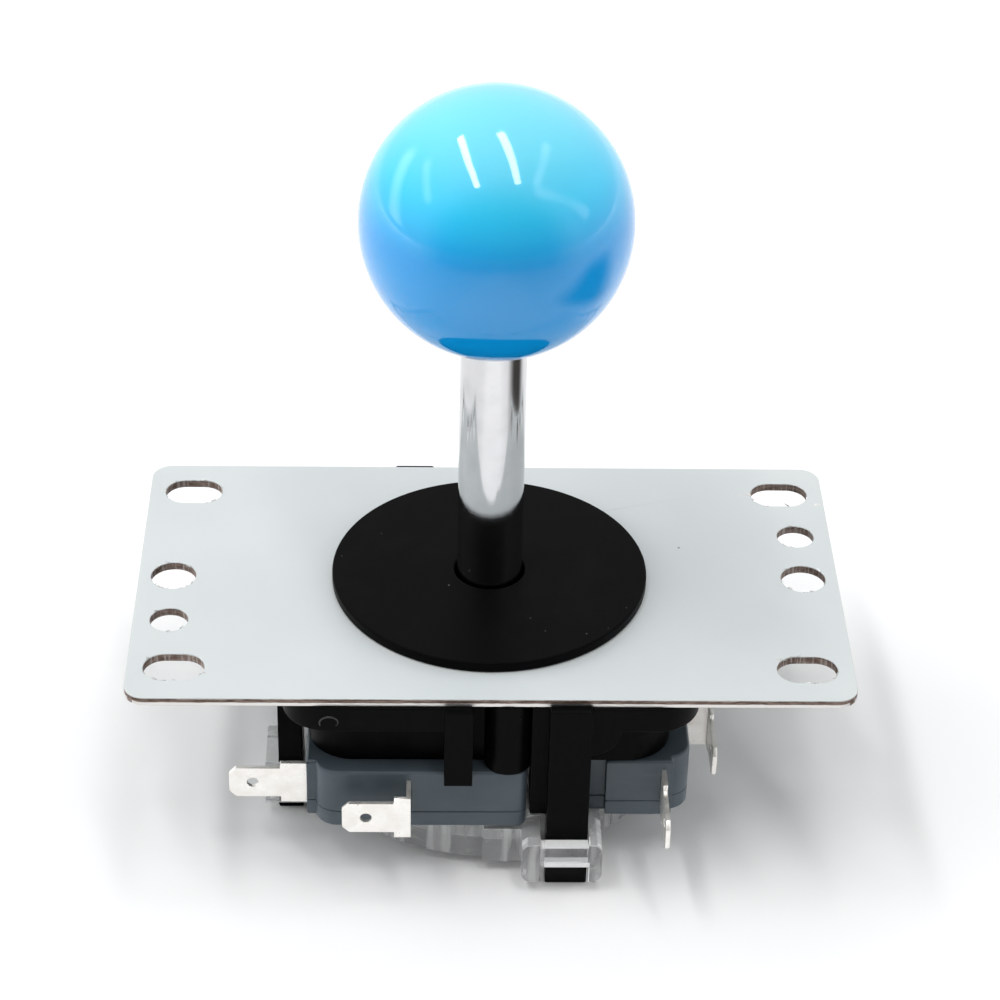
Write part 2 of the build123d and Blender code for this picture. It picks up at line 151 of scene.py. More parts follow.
class Finish:
    """A material on object coordinates, counted in millimetres."""

    def __init__(self, name):
        self.material = bpy.data.materials.new(name)
        self.flow = bare_flow(self.material)
        raw = self.flow.node("ShaderNodeTexCoord", out="Object")
        in_millimetres = {0: raw, "Scale": 1 / MM}
        self.place = self.flow.node("ShaderNodeVectorMath", {"operation": "SCALE"}, in_millimetres)

    def axis(self, name):
        return self.place.axis(name)

    def facing(self, name):
        return self.flow.node("ShaderNodeTexCoord", out="Normal").axis(name)

    def stretched(self, x, y, z):
        settings = {"operation": "MULTIPLY"}
        return self.flow.node("ShaderNodeVectorMath", settings, {0: self.place, 1: (x, y, z)})

    def noise(self, scale, detail=2.0, roughness=0.5, where=None, distortion=0.0):
        inputs = {"Vector": where or self.place, "Scale": scale, "Detail": detail,
                  "Roughness": roughness, "Distortion": distortion}
        return self.flow.node("ShaderNodeTexNoise", None, inputs)

    def specks(self, scale, radius, share):
        """Small round marks in some of the cells of a grid."""
        inputs = {"Vector": self.place, "Scale": scale}
        cell = self.flow.node("ShaderNodeTexVoronoi", None, inputs, out="Color")
        tone = self.flow.node("ShaderNodeSeparateColor", None, {0: cell})
        return (cell.other("Distance") < radius) * (tone > 1 - share)

    def scratches(self, scale, width, long_axis, share):
        """Fine broken lines along one axis."""
        along = 0.06 * scale
        sizes = [along if axis == long_axis else scale for axis in "xyz"]
        lines = self.noise(1.0, 3.0, 0.6, self.stretched(*sizes), 0.4)
        patches = self.noise(0.12 * scale, 1.0).step(1 - share, 1.1 - share)
        return (1 - (lines - 0.5).size() / width).step(0.0, 1.0) * patches

    def mix(self, share, first, second):
        """Colour between two others."""
        inputs = {0: share, 6: first, 7: second}
        return self.flow.node("ShaderNodeMix", {"data_type": "RGBA"}, inputs, out=2)

    def bump(self, height, depth):
        inputs = {"Height": height, "Strength": 1.0, "Distance": depth}
        return self.flow.node("ShaderNodeBump", None, inputs, out="Normal")

    def shader(self, **sockets):
        """A shader with these sockets set."""
        inputs = {SOCKETS[name]: value for name, value in sockets.items()}
        return self.flow.node("ShaderNodeBsdfPrincipled", None, inputs)

    def blend(self, share, first, second):
        """Shader between two others."""
        return self.flow.node("ShaderNodeMixShader", None, {0: share, 1: first, 2: second})

    def end(self, shader):
        self.flow.node("ShaderNodeOutputMaterial", None, {"Surface": shader})
        return self.material

    def close(self, **sockets):
        """Ends the material in one shader with these sockets set."""
        return self.end(self.shader(**sockets))


SOCKETS = {
    "colour": "Base Color", "roughness": "Roughness", "metallic": "Metallic", "normal": "Normal",
    "ior": "IOR", "coat": "Coat Weight", "coat_roughness": "Coat Roughness",
    "transmission": "Transmission Weight", "specular": "Specular IOR Level",
}


def colour(red, green, blue):
    return (red, green, blue, 1.0)


def grey(level):
    return (level, level, level, 1.0)


# The plate's half sizes, and how far out its end holes begin, in millimetres
PLATE_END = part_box("mounting_plate")[1].x / MM
PLATE_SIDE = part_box("mounting_plate")[1].y / MM
PLATE_MIDDLE = 30.0
# The gate's front bar, where the gate's finish paints highlights, in millimetres from the shaft axis and up
# from the gate's foot
BAR_OUT = 28.5
BAR_START = 7.3
BAR_END = 13.3
BAR_UP = 2.6


# Finishes

def ball_plastic():
    """Milky blue, deeper below and paler towards the top: painted shade below and painted light from above.
    """
    f = Finish("ball_plastic")
    low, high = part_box("ball_top")
    radius = (high.x - low.x) / 2 / MM
    cloud = f.noise(0.06, 2.0)
    # Height share for painted light: the colour pales upwards as if lit from above and deepens below as
    # painted shade.
    painted_light_rise = (f.axis("Z") - (high.z / MM - radius)) / radius + 0.10 * (cloud - 0.5)
    tone = f.mix(painted_light_rise.step(0.10, 0.60), colour(0.003, 0.330, 0.790), colour(0.024, 0.600, 0.940))
    tone = f.mix(painted_light_rise.step(0.45, 1.02), tone, colour(0.185, 0.775, 0.950))
    handling = f.scratches(1.6, 0.012, "z", 0.35)
    rough = 0.05 + 0.04 * f.noise(0.2, 3.0) + 0.10 * handling
    peel = f.noise(0.35, 1.0)
    return f.close(colour=tone, roughness=rough, normal=f.bump(peel, 0.010 * MM), ior=1.50, coat=0.35,
                   coat_roughness=0.03)


def shaft_chrome():
    f = Finish("shaft_chrome")
    polish = f.noise(1.0, 2.0, 0.6, f.stretched(0.25, 0.25, 26.0))
    haze = f.noise(0.25, 3.0)
    tone = f.mix(haze.step(0.4, 0.8), colour(0.60, 0.60, 0.61), colour(0.53, 0.53, 0.54))
    rough = 0.035 + 0.05 * polish + 0.05 * haze.step(0.55, 0.8)
    return f.close(colour=tone, metallic=1.0, roughness=rough, normal=f.bump(polish, 0.0012 * MM))


def washer_plastic():
    f = Finish("washer_plastic")
    dust = f.specks(0.55, 0.055, 0.16).either(f.specks(0.9, 0.05, 0.05))
    wear = f.noise(0.12, 4.0, 0.6).step(0.45, 0.75)
    plain = f.mix(wear, grey(0.0022), grey(0.0034))
    tone = f.mix(dust * 0.75, plain, grey(0.26))
    grain = f.noise(5.0, 3.0, 0.6)
    rubbed = f.scratches(1.2, 0.02, "x", 0.4)
    rough = 0.36 + 0.10 * grain - 0.08 * wear + 0.1 * rubbed
    return f.close(colour=tone, roughness=rough, normal=f.bump(grain, 0.010 * MM), specular=0.028)


def plate_paint():
    f = Finish("plate_paint")
    flat = f.facing("Z").size().step(0.80, 0.93)
    cloud = f.noise(0.05, 3.0)
    paint = f.mix(cloud.step(0.3, 0.7), colour(0.640, 0.673, 0.669), colour(0.668, 0.696, 0.690))
    marks = f.specks(0.11, 0.035, 0.18)
    scuffs = f.scratches(0.8, 0.010, "x", 0.30)
    paint = f.mix(marks * 0.8, paint, colour(0.16, 0.13, 0.11))
    paint = f.mix(scuffs * 0.25, paint, colour(0.55, 0.56, 0.56))
    height = f.axis("Z")
    shear = f.noise(1.0, 4.0, 0.65, f.stretched(0.55, 0.55, 3.0))
    rim = (f.axis("X").size() > PLATE_END - 0.5).either(f.axis("Y").size() > PLATE_SIDE - 0.5)
    bright = rim * (1 - (height + 0.35 * (shear - 0.5)).step(-0.72, -0.58))
    streaks = f.noise(1.0, 2.0, 0.6, f.stretched(3.0, 3.0, 0.3)).step(0.45, 0.70)
    lip = (height + 0.2 * (shear - 0.5)).step(-0.16, -0.06)
    raw = f.mix(shear.step(0.35, 0.65), colour(0.085, 0.048, 0.034), colour(0.25, 0.185, 0.15))
    raw = f.mix((1 - rim) * streaks * 0.7, raw, colour(0.46, 0.42, 0.40))
    raw = f.mix(bright * 0.95, raw, colour(0.74, 0.72, 0.70))
    raw = f.mix(lip * 0.8, raw, paint)
    edge = 1 - flat
    tone = f.mix(flat, raw, paint)
    peel = f.noise(0.9, 2.0)
    rough = flat * (0.34 + 0.10 * peel) + edge * (0.55 - 0.15 * bright)
    metal = edge * (0.35 + 0.6 * bright)
    bumps = f.bump(flat * peel * 0.35 + edge * shear, 0.045 * MM)
    return f.close(colour=tone, metallic=metal, roughness=rough, normal=bumps)


def housing_plastic():
    f = Finish("housing_plastic")
    scuff = f.noise(0.35, 5.0, 0.65).step(0.50, 0.80)
    dust = f.specks(0.8, 0.05, 0.10)
    tone = f.mix(scuff * 0.6, grey(0.0016), grey(0.0046))
    tone = f.mix(dust * 0.5, tone, grey(0.10))
    grain = f.noise(3.5, 3.0, 0.6)
    rough = 0.30 + 0.12 * grain + 0.10 * scuff
    return f.close(colour=tone, roughness=rough, normal=f.bump(grain, 0.012 * MM), specular=0.042)


def switch_plastic():
    f = Finish("switch_plastic")
    cloud = f.noise(0.18, 3.0)
    tone = f.mix(cloud.step(0.3, 0.7), colour(0.064, 0.085, 0.102), colour(0.078, 0.101, 0.119))
    flow_lines = f.noise(1.0, 3.0, 0.6, f.stretched(0.15, 0.15, 1.4))
    tone = f.mix(flow_lines.step(0.55, 0.8) * 0.35, tone, colour(0.10, 0.125, 0.145))
    grain = f.noise(4.0, 2.0)
    rough = 0.22 + 0.10 * grain + 0.08 * cloud
    return f.close(colour=tone, roughness=rough, normal=f.bump(grain, 0.006 * MM), specular=0.35)


def tab_tin():
    f = Finish("tab_tin")
    dull = f.noise(0.5, 4.0, 0.6).step(0.40, 0.70)
    tone = f.mix(dull, colour(0.99, 0.965, 0.925), colour(0.93, 0.895, 0.845))
    roll = f.noise(1.0, 2.0, 0.6, f.stretched(0.8, 0.8, 9.0))
    pits = f.specks(1.1, 0.12, 0.12)
    tone = f.mix(pits * 0.6, tone, colour(0.34, 0.29, 0.24))
    rough = 0.24 + 0.16 * dull + 0.08 * roll
    return f.close(colour=tone, metallic=0.80, roughness=rough, normal=f.bump(roll - 2 * pits, 0.006 * MM))


def gate_clear():
    """Clear moulding, hazy in streaks, with painted highlights: frosted white on its top faces and rounded
    edges, and bright along the foot of each bar.
    """
    f = Finish("gate_clear")
    ripple = f.noise(0.25, 2.0)
    haze = f.noise(0.9, 3.0).step(0.45, 0.8)
    up = f.facing("Z")
    slope = up.size()
    # Rounded edges get a painted highlight: a frosted white share where the faces slope.
    edge = slope.step(0.12, 0.40) * (1 - slope.step(0.86, 0.98))
    x = f.axis("X")
    y = f.axis("Y")
    sideways = x.size() > y.size()
    along = sideways * y * x.sign() - (1 - sideways) * x * y.sign()
    on_bar = (x.size().either(y.size()) > BAR_OUT) * (along > BAR_START) * (along < BAR_END)
    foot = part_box("restrictor_gate")[0].z / MM + BAR_UP
    # Painted highlight: a bright white band along the foot of each front bar.
    bright = on_bar * (1 - f.axis("Z").step(foot + 0.7, foot + 1.0))
    streaks = f.noise(1.0, 2.0, 0.5, f.stretched(0.55, 0.55, 0.06)).step(0.48, 0.70)
    # Frosted share: real haze in streaks, with painted highlights added on rounded edges, top faces and the
    # foot of each bar.
    share = (0.20 + 0.24 * streaks + 0.28 * edge) * (1 - 0.5 * on_bar)
    share = share.either((0.32 + 0.52 * on_bar) * up.step(0.40, 0.90))
    share = share.either(0.88 * bright)
    tone = f.mix(haze, colour(0.985, 0.99, 0.99), colour(0.95, 0.955, 0.955))
    bumps = f.bump(ripple, 0.030 * MM)
    clear = f.shader(colour=tone, roughness=0.03 + 0.10 * haze, normal=bumps, ior=1.40, transmission=1.0)
    frost_and_painted_highlight = f.shader(colour=tone, roughness=0.25 + 0.15 * haze, normal=bumps, ior=1.40)
    return f.end(f.blend(share, clear, frost_and_painted_highlight))


def plain_plastic(name, base, rough_base, mark):
    f = Finish(name)
    cloud = f.noise(0.4, 3.0).step(0.3, 0.7)
    tone = f.mix(cloud, base, mark)
    grain = f.noise(3.0, 3.0)
    rough = rough_base + 0.10 * grain
    return f.close(colour=tone, roughness=rough, normal=f.bump(grain, 0.008 * MM))


def drawn_metal(name, base, worn, rough_base, stretch):
    f = Finish(name)
    lines = f.noise(1.0, 3.0, 0.6, f.stretched(*stretch))
    tarnish = f.noise(0.5, 4.0).step(0.4, 0.75)
    tone = f.mix(tarnish, base, worn)
    rough = rough_base + 0.10 * lines + 0.10 * tarnish
    return f.close(colour=tone, metallic=1.0, roughness=rough, normal=f.bump(lines, 0.004 * MM))


FINISHES = {
    "ball_plastic": ball_plastic(),
    "shaft_chrome": shaft_chrome(),
    "washer_plastic": washer_plastic(),
    "plate_paint": plate_paint(),
    "housing_plastic": housing_plastic(),
    "switch_plastic": switch_plastic(),
    "tab_tin": tab_tin(),
    "gate_clear": gate_clear(),
}
# Each plain plastic's colour, roughness and the colour of its clouds
PLASTICS = (
    ("pivot_plastic", colour(0.76, 0.76, 0.72), 0.28, colour(0.68, 0.68, 0.63)),
    ("actuator_plastic", grey(0.012), 0.34, grey(0.022)),
    ("plunger_plastic", colour(0.52, 0.05, 0.035), 0.26, colour(0.44, 0.04, 0.03)),
)
# Each bare metal's clean and worn colours, roughness and how closely its drawn lines lie along each axis
METALS = (
    ("insert_brass", colour(0.72, 0.52, 0.22), colour(0.48, 0.32, 0.14), 0.22, (1, 1, 8)),
    ("clip_steel", grey(0.16), colour(0.10, 0.085, 0.075), 0.34, (4, 4, 1)),
    ("screw_steel", grey(0.60), colour(0.48, 0.47, 0.43), 0.24, (3, 3, 3)),
    ("spring_steel", grey(0.52), grey(0.36), 0.22, (6, 6, 2)),
    ("blade_bronze", colour(0.64, 0.42, 0.20), colour(0.45, 0.28, 0.14), 0.25, (1, 1, 9)),
)
for row in PLASTICS:
    FINISHES[row[0]] = plain_plastic(*row)
for row in METALS:
    FINISHES[row[0]] = drawn_metal(*row)
slot_of_node = {row["node"]: row["material_slot"] for row in frame["record"]["subparts"]}
bodies = frame["record"]["behaviour"]["bodies"]
body_of_node = {node: body for body, nodes in bodies.items() for node in nodes}


def dress(thing, slot):
    thing.data.materials.clear()
    thing.data.materials.append(FINISHES[slot])


for node, thing in frame["nodes"].items():
    dress(thing, slot_of_node[node])


# Pieces

# Points of a solid closer than this are one, and of a turned piece
MERGE = 0.002 * MM
FINE_MERGE = 0.0005 * MM
# Edges sharper than this are rounded, in degrees
SHARP_ANGLE = 32
# A rounded edge keeps within this share of its width from the solid. A point further off goes back to it.
STRAY_SHARE = 0.7


def link_piece(name, mesh):
    piece = bpy.data.objects.new(name, mesh)
    scene.collection.objects.link(piece)
    return piece


def mesh_from(form, name):
    """The mesh of a form, which is then done with."""
    mesh = bpy.data.meshes.new(name)
    form.to_mesh(mesh)
    form.free()
    return mesh


def merged(node):
    """A solid's mesh as a form, with the points that its triangles share made one."""
    form = bmesh.new()
    form.from_mesh(frame["nodes"][node].data)
    bmesh.ops.remove_doubles(form, verts=form.verts, dist=MERGE)
    return form


def shade_smooth(mesh):
    for face in mesh.polygons:
        face.use_smooth = True


def fit(piece, slot, node):
    """A finished piece takes a finish, and the body of the node that it sits on."""
    dress(piece, slot)
    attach(piece, body_of_node[node])


def settle(piece, node):
    """A finished piece stands for a node: it takes the node's finish, body and place."""
    fit(piece, slot_of_node[node], node)
    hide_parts(node)


def baked(piece):
    """The piece with its modifiers worked into a plain mesh."""
    bpy.context.view_layer.update()
    graph = bpy.context.evaluated_depsgraph_get()
    mesh = bpy.data.meshes.new_from_object(piece.evaluated_get(graph), depsgraph=graph)
    piece.modifiers.clear()
    old = piece.data
    piece.data = mesh
    bpy.data.meshes.remove(old)
    mesh.name = piece.name
    return piece


def baked_smooth(piece):
    """The piece shaded smooth, with its large faces kept flat, and worked into a plain mesh."""
    even = piece.modifiers.new("even", "WEIGHTED_NORMAL")
    even.keep_sharp = True
    shade_smooth(piece.data)
    return baked(piece)


def rounded_copy(node, name, width, segments=2):
    """A merged copy of a solid with its sharp edges rounded by a width in millimetres."""
    form = merged(node)
    sharp = BVHTree.FromBMesh(form)
    piece = link_piece(name, mesh_from(form, name))
    edge = piece.modifiers.new("edge", "BEVEL")
    edge.width = width * MM
    edge.segments = segments
    edge.limit_method = "ANGLE"
    edge.angle_limit = math.radians(SHARP_ANGLE)
    edge.use_clamp_overlap = False
    baked_smooth(piece)
    for vertex in piece.data.vertices:
        nearest, _, _, distance = sharp.find_nearest(vertex.co)
        if distance > STRAY_SHARE * width * MM:
            vertex.co = nearest
    settle(piece, node)


def turned_piece(node, name, outline, segments):
    """Solid turned about the shaft axis from a closed outline of radius and height, in millimetres."""
    form = bmesh.new()
    rim = [form.verts.new((r * MM, 0, z * MM)) for r, z in outline]
    edges = [form.edges.new((rim[i], rim[i - 1])) for i in range(len(rim))]
    bmesh.ops.spin(form, geom=rim + edges, cent=(0, 0, 0), axis=(0, 0, 1), angle=2 * math.pi,
                   steps=segments, use_merge=True)
    bmesh.ops.remove_doubles(form, verts=form.verts, dist=FINE_MERGE)
    bmesh.ops.recalc_face_normals(form, faces=form.faces)
    settle(baked_smooth(link_piece(name, mesh_from(form, name))), node)


def arc(r, z, radius, start, end, steps):
    """Points of an outline round a centre, between two angles in degrees."""
    points = []
    for i in range(steps + 1):
        angle = math.radians(start + (end - start) * i / steps)
        points.append((r + radius * math.cos(angle), z + radius * math.sin(angle)))
    return points


# The ball's soft edges at the bore and at the flat, in millimetres, and where its round begins, in degrees
BORE_SOFT = 0.25
FLAT_SOFT = 0.45
ROUND_START = 1.2
BALL_STEPS = 110
BALL_SEGMENTS = 160
# The washer's rounded rims and its play round the shaft, in millimetres
WASHER_SOFT = 0.28
WASHER_PLAY = 0.35
WASHER_STEPS = 4
WASHER_SEGMENTS = 180


def ball():
    """Ball with a small flat and a soft rim where the shaft enters."""
    low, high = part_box("ball_top")
    radius = (high.x - low.x) / 2 / MM
    centre = high.z / MM - radius
    flat = low.z / MM
    insert_low, insert_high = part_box("ball_insert")
    bore = (insert_high.x - insert_low.x) / 2 / MM
    bore_top = insert_high.z / MM
    flat_edge = math.sqrt(radius**2 - (centre - flat) ** 2)
    start = math.degrees(math.atan2(flat - centre, flat_edge)) + ROUND_START
    outline = [(0.0, bore_top), (bore, bore_top), (bore, flat + BORE_SOFT), (bore + BORE_SOFT, flat)]
    outline.append((flat_edge - FLAT_SOFT, flat))
    outline += arc(0.0, centre, radius, start, 90, BALL_STEPS)
    outline[-1] = (0.0, centre + radius)
    turned_piece("ball_top", "ball", outline, BALL_SEGMENTS)


def washer():
    """Dust washer with rounded rims."""
    low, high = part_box("dust_washer")
    outer = high.x / MM - WASHER_SOFT
    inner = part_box("shaft")[1].x / MM + WASHER_PLAY + WASHER_SOFT
    bottom = low.z / MM + WASHER_SOFT
    top = high.z / MM - WASHER_SOFT
    outline = []
    for r, z, start in ((outer, bottom, -90), (outer, top, 0), (inner, top, 90), (inner, bottom, 180)):
        outline += arc(r, z, WASHER_SOFT, start, start + 90, WASHER_STEPS)
    turned_piece("dust_washer", "dust_disc", outline, WASHER_SEGMENTS)


def growing_tree(name, sizes):
    """Geometry Nodes tree with a named input for each size: its flow and its inputs."""
    tree = bpy.data.node_groups.new(name, "GeometryNodeTree")
    for way in ("INPUT", "OUTPUT"):
        tree.interface.new_socket("Geometry", in_out=way, socket_type="NodeSocketGeometry")
    for size, value in sizes.items():
        socket = tree.interface.new_socket(size, in_out="INPUT", socket_type="NodeSocketFloat")
        socket.default_value = value
    flow = Flow(tree)
    given = flow.node("NodeGroupInput")
    return flow, {size: given.other(size) for size in ("Geometry", *sizes)}


def grown_piece(name, mesh, flow, shape, sizes, slot):
    """Ends a tree in a shape of one finish, grows it on a mesh and makes the result a plain piece."""
    solid = flow.node("GeometryNodeRealizeInstances", None, {"Geometry": shape})
    solid = flow.node("GeometryNodeSetMaterial", None, {"Geometry": solid, "Material": FINISHES[slot]})
    flow.node("NodeGroupOutput", None, {0: solid})
    piece = link_piece(name, mesh)
    maker = piece.modifiers.new("maker", "NODES")
    maker.node_group = flow.tree
    for socket in flow.tree.interface.items_tree:
        if socket.name in sizes:
            maker[socket.identifier] = sizes[socket.name]
    return baked(piece)


def coil():
    """Return spring: a wire that follows a rising spiral."""
    low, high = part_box("return_spring")
    wire = 0.9 * MM
    sizes = {"Radius": high.x - wire / 2, "Wire": wire, "Height": high.z - low.z - wire,
             "Base": low.z + wire / 2, "Turns": 4.5}
    flow, take = growing_tree("wire_coil", sizes)
    path = flow.node("GeometryNodeCurveSpiral", None, {
        "Resolution": 44, "Rotations": take["Turns"], "Start Radius": take["Radius"],
        "End Radius": take["Radius"], "Height": take["Height"]})
    lift = flow.node("ShaderNodeCombineXYZ", None, {"Z": take["Base"]})
    path = flow.node("GeometryNodeSetPosition", None, {"Geometry": path, "Offset": lift})
    section = flow.node("GeometryNodeCurvePrimitiveCircle", None, {
        "Resolution": 14, "Radius": take["Wire"] / 2.0})
    tube = flow.node("GeometryNodeCurveToMesh", None, {
        "Curve": path, "Profile Curve": section, "Fill Caps": True})
    nothing = bpy.data.meshes.new("spring_coil")
    piece = grown_piece("spring_coil", nothing, flow, tube, sizes, "spring_steel")
    shade_smooth(piece.data)
    settle(piece, "return_spring")


def path_mesh(name, runs):
    """Mesh of bare edges along each run of points, in millimetres."""
    mesh = bpy.data.meshes.new(name)
    points = [Vector(p) * MM for run in runs for p in run]
    edges = []
    start = 0
    for run in runs:
        edges += [(start + i, start + i + 1) for i in range(len(run) - 1)]
        start += len(run)
    mesh.from_pydata(points, edges, [])
    return mesh


def hole_rims():
    """Runs of points round the plate's slots and holes, along its top edge."""
    form = merged("mounting_plate")
    runs = []
    for edge in form.edges:
        ends = [v.co / MM for v in edge.verts]
        on_top = all(abs(p.z) < 0.01 for p in ends)
        upright = [f for f in edge.link_faces if abs(f.normal.z) < 0.1]
        inside = all(PLATE_MIDDLE < abs(p.x) < PLATE_END - 1 for p in ends)
        if on_top and upright and inside and abs(ends[0].y) < PLATE_SIDE - 1:
            runs.append(ends)
    form.free()
    return runs


def burrs():
    """Slivers of bare metal that the punch left round the holes."""
    sizes = {"Spacing": 0.35 * MM, "Share": 0.16, "Length": 0.75 * MM, "Width": 0.10 * MM}
    flow, take = growing_tree("slivers", sizes)
    curve = flow.node("GeometryNodeMeshToCurve", None, {"Mesh": take["Geometry"]})
    points = flow.node("GeometryNodeCurveToPoints", {"mode": "LENGTH"}, {
        "Curve": curve, "Length": take["Spacing"]}, out="Points")
    chosen = flow.node("FunctionNodeRandomValue", {"data_type": "BOOLEAN"}, {
        "Probability": take["Share"], "Seed": 3}, out=3)
    jitter = flow.node("FunctionNodeRandomValue", {"data_type": "FLOAT_VECTOR"}, {
        0: (-0.5, -0.45, -0.9), 1: (0.5, 0.2, 0.9), "Seed": 5})
    turn = flow.node("FunctionNodeRotateEuler", {"space": "LOCAL"}, {
        "Rotation": points.other("Rotation"), "Rotate By": jitter})
    stretch = flow.node("FunctionNodeRandomValue", {"data_type": "FLOAT_VECTOR"}, {
        0: (0.5, 0.5, 0.3), 1: (1.3, 1.2, 1.2), "Seed": 8})
    sliver = flow.node("GeometryNodeMeshCone", None, {
        "Vertices": 5, "Radius Top": take["Width"] * 0.15, "Radius Bottom": take["Width"],
        "Depth": take["Length"]})
    placed = flow.node("GeometryNodeInstanceOnPoints", None, {
        "Points": points, "Selection": chosen, "Instance": sliver, "Rotation": turn, "Scale": stretch})
    rims = path_mesh("punch_burrs", hole_rims())
    piece = grown_piece("punch_burrs", rims, flow, placed, sizes, "screw_steel")
    fit(piece, "screw_steel", "mounting_plate")


# Bright flakes torn up beside some holes: place, heading in degrees, length and width, in millimetres
FLAKES = (
    (37.4, 20.2, 176, 1.9, 0.34),
    (-45.3, 20.4, 172, 0.7, 0.30),
    (46.2, 17.9, 8, 0.9, 0.36),
    (37.9, -18.3, 160, 0.6, 0.22),
    (-37.5, -21.4, -30, 0.6, 0.22),
)
# Heights of a flake's crest and tip above the plate, and how far along it the crest lies
CREST_UP = Vector((0, 0, 0.16))
TIP_UP = Vector((0, 0, 0.02))
CREST_SHARE = 0.2


def torn_metal():
    """Each flake is a low wedge with its crest near the root."""
    form = bmesh.new()
    for x, y, heading, length, width in FLAKES:
        along = Vector((math.cos(math.radians(heading)), math.sin(math.radians(heading)), 0))
        side = Vector((-along.y, along.x, 0)) * width / 2
        root = Vector((x, y, 0))
        left = form.verts.new((root + side) * MM)
        right = form.verts.new((root - side) * MM)
        crest = form.verts.new((root + along * length * CREST_SHARE + CREST_UP) * MM)
        tip = form.verts.new((root + along * length + TIP_UP) * MM)
        for face in ((left, right, crest), (left, crest, tip), (right, tip, crest), (left, tip, right)):
            form.faces.new(face)
    bmesh.ops.recalc_face_normals(form, faces=form.faces)
    piece = link_piece("torn_metal", mesh_from(form, "torn_metal"))
    fit(piece, "tab_tin", "mounting_plate")


# The curled ridge on the flange: its middle, reach and thickness, in millimetres, and its angles in degrees
SCAR_MIDDLE = Vector((-20.9, -27.28, -3.6))
SCAR_REACH = 1.1
SCAR_THICK = 0.14
SCAR_START = 205
SCAR_TURN = -245
SCAR_STEPS = 24
SCAR_RING = 8


def flange_scar():
    """Curled ridge on the front of the housing's flange, thin at its ends and tighter towards the last."""
    form = bmesh.new()
    last = None
    for i in range(SCAR_STEPS + 1):
        share = i / SCAR_STEPS
        angle = math.radians(SCAR_START + SCAR_TURN * share)
        reach = SCAR_REACH * (1.25 - 0.35 * share)
        middle = SCAR_MIDDLE + Vector((reach * math.cos(angle), 0, 0.8 * reach * math.sin(angle)))
        away = Vector((math.cos(angle), 0, math.sin(angle)))
        thick = SCAR_THICK * (0.35 + 0.65 * math.sin(math.pi * min(1.0, 0.1 + share)))
        loop = []
        for k in range(SCAR_RING):
            turn = 2 * math.pi * k / SCAR_RING
            point = middle + thick * (away * math.cos(turn) + Vector((0, 1, 0)) * math.sin(turn))
            loop.append(form.verts.new(point * MM))
        if last:
            for k in range(SCAR_RING):
                form.faces.new((last[k], last[k - 1], loop[k - 1], loop[k]))
        else:
            form.faces.new(loop)
        last = loop
    form.faces.new(last)
    bmesh.ops.recalc_face_normals(form, faces=form.faces)
    mesh = mesh_from(form, "flange_scar")
    shade_smooth(mesh)
    fit(link_piece("flange_scar", mesh), "actuator_plastic", "housing")


ball()
washer()
burrs()
torn_metal()
flange_scar()
rounded_copy("shaft", "chrome_shaft", 0.18, 3)
rounded_copy("mounting_plate", "painted_plate", 0.10)
rounded_copy("housing", "moulded_housing", 0.22)
rounded_copy("restrictor_gate", "clear_gate", 0.13, 3)
for side in SIDES:
    rounded_copy(f"{side}_switch_case", f"{side}_case_shell", 0.08)
    rounded_copy(f"{side}_switch_cover", f"{side}_case_lid", 0.08)
    rounded_copy(f"{side}_com_terminal", f"{side}_common_tab", 0.09)
    rounded_copy(f"{side}_no_terminal", f"{side}_second_tab", 0.09)
coil()


# Floor and light

FLOOR_Z = cad_box[0].z
FLOOR_RADIUS = 6.0
BALL_Z = (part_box("ball_top")[0].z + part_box("ball_top")[1].z) / 2
EVEN_LIGHT = 0.27
# Pale strips of the room that only mirrors show: the directions of both ends, half width and strength
WINDOWS = (
    ((-0.80, 0.46, 0.38), (-0.99, 0.02, -0.05), 0.17, 1.8),
    ((-0.76, 0.15, 0.62), (-0.84, -0.26, 0.47), 0.10, 1.5),
    ((0.53, 0.22, 0.82), (0.50, -0.36, 0.79), 0.09, 1.6),
    ((0.54, -0.46, 0.71), (0.96, -0.15, 0.22), 0.12, 1.2),
)
# Height of the lamps overhead above the middle of the ball, and the tubes' width as a share of it
LAMP_HEIGHT = 2.0
TUBE_WIDTH = 0.10


def seen_or_mirrored(flow):
    """1 for rays that see the backdrop straight, in a mirror or through something clear."""
    camera = flow.node("ShaderNodeLightPath", out="Is Camera Ray")
    return camera.either(camera.other("Is Glossy Ray")).either(camera.other("Is Transmission Ray"))


